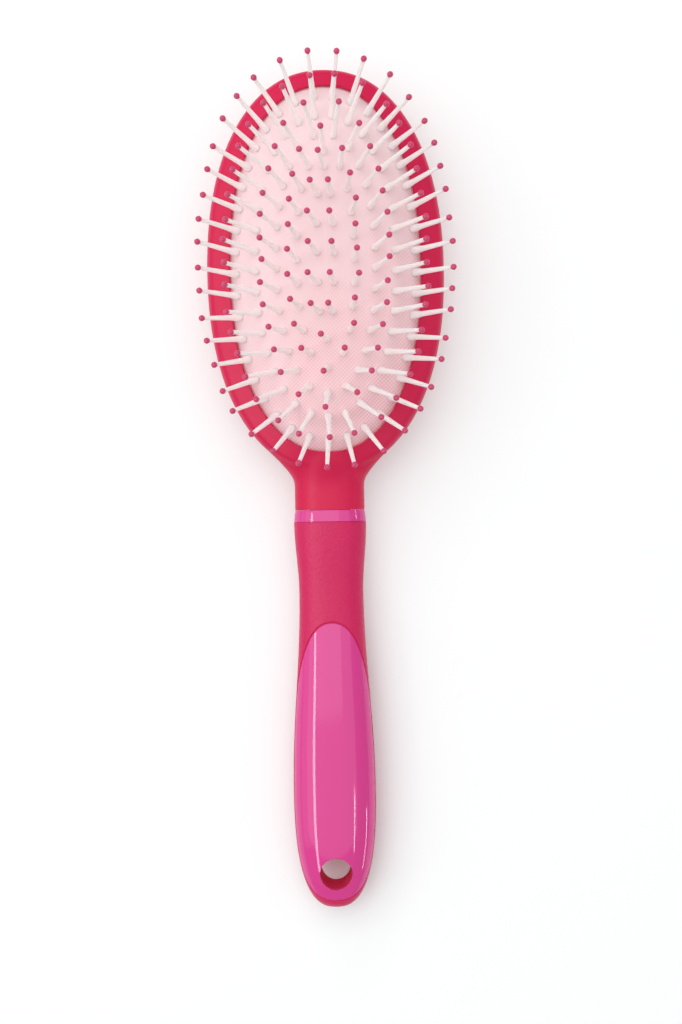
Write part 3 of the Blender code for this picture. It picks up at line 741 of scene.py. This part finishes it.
def handle_stations():
    """Sections down the handle, set closer together towards its round end."""
    span, long_steps, end_steps = HANDLE_LENGTH - BELLY_FROM_TOP, 90, 48
    downs = [BELLY_FROM_TOP * step / long_steps for step in range(long_steps)]
    for step in range(end_steps):
        angle = math.pi / 2 * step / end_steps
        downs.append(BELLY_FROM_TOP + span * math.sin(angle) ** (2 / END_POWER))
    stations = []
    for down in downs:
        half_width, low, high = handle_section(down)
        stations.append((HANDLE_TOP_Y - down if down else GRIP_TOP_Y,
                         (low + high) / 2, half_width, (high - low) / 2))
    return stations


def parting_height(y):
    """Height of the inlay's seat: an arched ramp, a bend, a level length and a rise to the end."""
    bend, end_rise, end_length, end_start = 0.0060, 0.0022, 0.0110, 0.0136
    slope = (INLAY_TOP_Z - PARTING) / INLAY_RAMP
    foot_y, rise_y = INLAY_TOP_Y - INLAY_RAMP, HANDLE_END_Y + end_start
    if y > foot_y + bend:
        return PARTING + slope * (y - foot_y)
    if y > foot_y - bend:
        return PARTING + slope * (y - foot_y + bend) ** 2 / (4 * bend)
    return PARTING + end_rise * (max(rise_y - y, 0) / end_length) ** 2


def inlay_space(gap):
    """What the inlay takes from the front of the handle."""
    past_top, past_end, above, reach, steps = 0.020, 0.004, 0.008, 0.016, 180
    first_y, last_y = INLAY_TOP_Y + past_top, HANDLE_END_Y - past_end
    places = [first_y + (last_y - first_y) * step / steps for step in range(steps + 1)]
    outline = [(y, parting_height(y) - gap) for y in places]
    outline += [(last_y, BELLY_HIGH + above), (first_y, BELLY_HIGH + above)]
    bpy.ops.object.select_all(action='DESELECT')
    bpy.ops.mesh.primitive_circle_add(vertices=len(outline), fill_type='NGON')
    space = bpy.context.object
    for vertex, (y, z) in zip(space.data.vertices, outline):
        vertex.co = (-reach, y, z)
    bpy.ops.object.mode_set(mode='EDIT')
    bpy.ops.mesh.select_all(action='SELECT')
    bpy.ops.mesh.extrude_region_move(TRANSFORM_OT_translate={"value": (2 * reach, 0, 0)})
    bpy.ops.mesh.select_all(action='SELECT')
    bpy.ops.mesh.normals_make_consistent(inside=False)
    bpy.ops.object.mode_set(mode='OBJECT')
    return space


def seam_groove():
    """Round bar along the line where the inlay's edge meets the skin, to cut a fine groove."""
    def above_seat(y):
        return handle_section(HANDLE_TOP_Y - y)[2] - parting_height(y)

    end_y, inside_y, close_enough = HANDLE_END_Y, HOLE_Y, 1e-7
    while inside_y - end_y > close_enough:
        middle_y = (end_y + inside_y) / 2
        if above_seat(middle_y) > 0:
            inside_y = middle_y
        else:
            end_y = middle_y
    steps, middle_y = 44, (INLAY_TOP_Y + inside_y) / 2
    places = [INLAY_TOP_Y + (middle_y - INLAY_TOP_Y) * (step / steps) ** SECTION_POWER
              for step in range(steps)]
    places += [inside_y + (middle_y - inside_y) * (step / steps) ** SECTION_POWER
               for step in range(steps, -1, -1)]
    side = []
    for y in places:
        half_width, low, high = handle_section(HANDLE_TOP_Y - y)
        height = (2 * parting_height(y) - low - high) / (high - low)
        across = half_width * max(1 - abs(height) ** SECTION_POWER, 0) ** (1 / SECTION_POWER)
        side.append((across, y, parting_height(y)))
    loop = side + [(-across, y, z) for across, y, z in side[-2:0:-1]]
    line = bpy.data.curves.new("seam", 'CURVE')
    line.dimensions = '3D'
    line.bevel_depth = SEAM_GROOVE_RADIUS
    line.bevel_resolution = 2
    spline = line.splines.new('POLY')
    spline.points.add(len(loop) - 1)
    for point, place in zip(spline.points, loop):
        point.co = (*place, 1)
    spline.use_cyclic_u = True
    bar = bpy.data.objects.new("seam", line)
    bpy.context.collection.objects.link(bar)
    select_only(bar)
    bpy.ops.object.convert(target='MESH')
    return bpy.context.object


HOLE_DOWN = HANDLE_TOP_Y - HOLE_Y
HOLE_ROUND = 0.004
HOLE_FALL = (handle_section(HOLE_DOWN - HOLE_ROUND)[2]
             - handle_section(HOLE_DOWN + HOLE_ROUND)[2]) / (2 * HOLE_ROUND)
HOLE_LOW, HOLE_HIGH = handle_section(HOLE_DOWN)[1:]
BACK_MOUTH = 0.0011
GRIP_MOUTH = 0.00008
INLAY_MOUTH = 0.00055
BOSS_WALL = 0.0012
BOSS_LOW = PARTING - 0.0036
BOSS_TOP = HOLE_HIGH - 0.0011


def tilted_ends(tool, bottom_too):
    """Turn the ends of an upright tool to the slope of the handle's faces round the hole."""
    middle = (HOLE_LOW + HOLE_HIGH) / 2
    for vertex in tool.data.vertices:
        if vertex.co.z > middle:
            vertex.co.z += HOLE_FALL * (vertex.co.y - HOLE_Y)
        elif bottom_too:
            vertex.co.z -= HOLE_FALL * (vertex.co.y - HOLE_Y)
    return tool


def hole_post(name, profile):
    """Upright round tool on the hole's axis, from the heights and radii of its profile."""
    stations = [(height, HOLE_Y, radius, radius) for height, radius in profile]
    return drawn(name, 'Z', HOLE_SIDES, ROUND_POWER, stations)


def hole_bore(mouth, top):
    """Hang hole, wider by a draft at the front, with a rounded mouth square to each face."""
    past_face, arc_steps = 0.003, 9
    arc = [math.pi / 2 * step / arc_steps for step in range(arc_steps + 1)]
    levels = [(HOLE_LOW - past_face, BACK_MOUTH)]
    for angle in reversed(arc):
        levels.append((HOLE_LOW + BACK_MOUTH * (1 - math.sin(angle)),
                       BACK_MOUTH * (1 - math.cos(angle))))
    for angle in arc:
        levels.append((top - mouth * (1 - math.sin(angle)),
                       HOLE_DRAFT + mouth * (1 - math.cos(angle))))
    levels.append((HOLE_HIGH + past_face, HOLE_DRAFT + mouth))
    profile = [(height, HOLE_RADIUS + grow) for height, grow in levels]
    return tilted_ends(hole_post("hole_bore", profile), True)


def hole_boss(gap):
    """Tube of the grip that lines the hole and ends under the rounded lip of the inlay."""
    radius = HOLE_RADIUS + BOSS_WALL + gap
    profile = [(BOSS_LOW, radius), (BOSS_TOP + gap, radius)]
    return tilted_ends(hole_post("hole_boss", profile), False)


grip = drawn("grip", 'Y', HANDLE_SIDES, SECTION_POWER, handle_stations())
boolean(grip, tang_space(), 'DIFFERENCE')
boolean(grip, inlay_space(SEAM), 'DIFFERENCE')
boolean(grip, seam_groove(), 'DIFFERENCE')
boolean(grip, hole_boss(0.0), 'UNION')
SOFT_TOUCH = grained(
    "raspberry_soft_touch", (0.65, 0.006, 0.104), (0.61, 0.005, 0.094), 1400, 0.00018, 0.34, 0.48,
    Specular_IOR_Level=0.36)
# Bore lining: the bare core without the soft-touch coat, and also painted lighter than the grip,
# which lifts the shade inside the hole.
BARE_RASPBERRY_PAINTED_LIGHT = grained(
    "bare_raspberry_painted_light", (0.74, 0.020, 0.110), (0.70, 0.016, 0.100), 1400, 0.00002, 0.60, 0.70,
    Specular_IOR_Level=0.10)
grip.data.materials.append(SOFT_TOUCH)
bore = hole_bore(GRIP_MOUTH, BOSS_TOP)
bore.data.materials.append(BARE_RASPBERRY_PAINTED_LIGHT)
boolean(grip, bore, 'DIFFERENCE')
smooth_shade(grip)
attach(grip, "brush")
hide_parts("handle_grip")


# Handle inlay
# A glossy violet-pink shell let into the front of the grip, flush with it, with an arched top and
# a fine groove along its edge. The hang hole goes through it, and its face is plain.

inlay = drawn("inlay", 'Y', HANDLE_SIDES, SECTION_POWER, handle_stations())
boolean(inlay, inlay_space(0.0), 'INTERSECT')
boolean(inlay, seam_groove(), 'DIFFERENCE')
boolean(inlay, hole_boss(SEAM), 'DIFFERENCE')
boolean(inlay, hole_bore(INLAY_MOUTH, HOLE_HIGH), 'DIFFERENCE')
smooth_shade(inlay)
inlay.data.materials.append(VIOLET_GLOSS)
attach(inlay, "brush")
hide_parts("handle_inlay")


# Floor, light and camera
# A white table under wide soft panels from above and the left, with narrow strip lamps at both
# sides that the glossy pieces mirror. The camera looks straight down.

CAMERA_SPOT = Vector((0.0, -0.0692, 0.423))
CAMERA_SWING = math.radians(-0.447)
CAMERA_ROLL = math.radians(-1.02)
TABLE_SIZE = 6
TABLE_WHITE = (0.945, 0.97, 0.97)
# Painted shadow: an oval beside the handle where the table is not lifted towards white, so the
# shadow there shows darker.
SHADOW_X, SHADOW_Y = 0.006, HOLE_Y + 0.028
SHADOW_SQUEEZE = 0.3
SHADOW_INNER, SHADOW_OUTER = 0.010, 0.021
BACKDROP_SHARE = 0.25
BACKDROP_STRENGTH = 1.15
WORLD_STRENGTH = 0.42

bpy.ops.object.select_all(action='DESELECT')
bpy.ops.mesh.primitive_plane_add(size=TABLE_SIZE, location=(0, 0, 0))
floor = bpy.context.object
floor.name = "table_top"


def table_material():
    """White table, lifted to the white of the backdrop, except in a painted shadow: an oval beside
    the handle left unlifted.
    """
    made, tree, shader = principled("table_white", TABLE_WHITE, 0.9, Specular_IOR_Level=0.0)
    nodes, links = tree.nodes, tree.links
    place = nodes.new('ShaderNodeTexCoord')
    squeeze = nodes.new('ShaderNodeVectorMath')
    squeeze.operation = 'MULTIPLY'
    squeeze.inputs[1].default_value = (1, SHADOW_SQUEEZE, 1)
    away = nodes.new('ShaderNodeVectorMath')
    away.operation = 'DISTANCE'
    away.inputs[1].default_value = (SHADOW_X, SHADOW_Y * SHADOW_SQUEEZE, 0)
    lift = nodes.new('ShaderNodeMapRange')
    lift.inputs["From Min"].default_value = SHADOW_INNER
    lift.inputs["From Max"].default_value = SHADOW_OUTER
    lift.inputs["To Max"].default_value = BACKDROP_SHARE
    rays = nodes.new('ShaderNodeLightPath')
    seen = nodes.new('ShaderNodeMath')
    seen.operation = 'MAXIMUM'
    share = nodes.new('ShaderNodeMath')
    share.operation = 'MULTIPLY'
    backdrop = nodes.new('ShaderNodeEmission')
    backdrop.inputs["Strength"].default_value = BACKDROP_STRENGTH
    mix = nodes.new('ShaderNodeMixShader')
    links.new(place.outputs["Object"], squeeze.inputs[0])
    links.new(squeeze.outputs["Vector"], away.inputs[0])
    links.new(away.outputs["Value"], lift.inputs["Value"])
    links.new(rays.outputs["Is Camera Ray"], seen.inputs[0])
    links.new(rays.outputs["Is Glossy Ray"], seen.inputs[1])
    links.new(seen.outputs[0], share.inputs[0])
    links.new(lift.outputs["Result"], share.inputs[1])
    links.new(share.outputs[0], mix.inputs["Fac"])
    links.new(shader.outputs["BSDF"], mix.inputs[1])
    links.new(backdrop.outputs["Emission"], mix.inputs[2])
    links.new(mix.outputs["Shader"], nodes["Material Output"].inputs["Surface"])
    return made


floor.data.materials.append(table_material())

world = bpy.context.scene.world or bpy.data.worlds.new("studio")
bpy.context.scene.world = world
world.use_nodes = True
background = world.node_tree.nodes["Background"]
background.inputs["Color"].default_value = (1, 1, 1, 1)
background.inputs["Strength"].default_value = WORLD_STRENGTH


def softbox(name, spot, width, length, brightness):
    """Rectangular lamp along the brush that faces it, with its power in step with its area."""
    bpy.ops.object.light_add(type='AREA', location=spot)
    lamp = bpy.context.object
    lamp.name = name
    lamp.data.shape = 'RECTANGLE'
    lamp.data.size = width
    lamp.data.size_y = length
    lamp.data.energy = brightness * math.pi * width * length
    lamp.rotation_euler = (0, math.atan2(spot[0], spot[2]), 0)
    return lamp


for width in (1.0, 1.4, 1.8, 2.2, 2.6, 3.0, 3.4):
    softbox("ceiling_panel", (-0.24, 0.4, 1.5), width, 2.6, 0.68)
for width, length in ((0.6, 1.86), (1.0, 1.92), (1.4, 1.98)):
    softbox("toe_panel", (-0.30, 1.7 - length / 2, 1.5), width, length, 0.75)
softbox("left_panel", (-1.6, 0.3, 0.9), 1.4, 2.4, 0.52)
for name, spot, width, length, brightness in (
        ("left_strip", (-0.434, -0.25, 0.62), 0.075, 0.80, 8.0),
        ("right_strip_high", (0.40, -0.385, 0.62), 0.018, 0.19, 18.0),
        ("right_strip_low", (0.45, -0.35, 0.13), 0.018, 0.18, 16.0),
        ("collar_strip", (0.43, 0.05, 0.20), 0.016, 0.22, 12.0)):
    softbox(name, spot, width, length, brightness).visible_diffuse = False

camera_data = bpy.data.cameras.new("camera")
camera_data.sensor_width = 36
camera_data.lens = 50
camera_data.clip_start = 0.01
camera = bpy.data.objects.new("camera", camera_data)
camera.location = CAMERA_SPOT
camera.rotation_euler = (0, CAMERA_SWING, CAMERA_ROLL)
bpy.context.collection.objects.link(camera)
bpy.context.scene.camera = camera
bpy.context.scene.view_settings.view_transform = 'Standard'
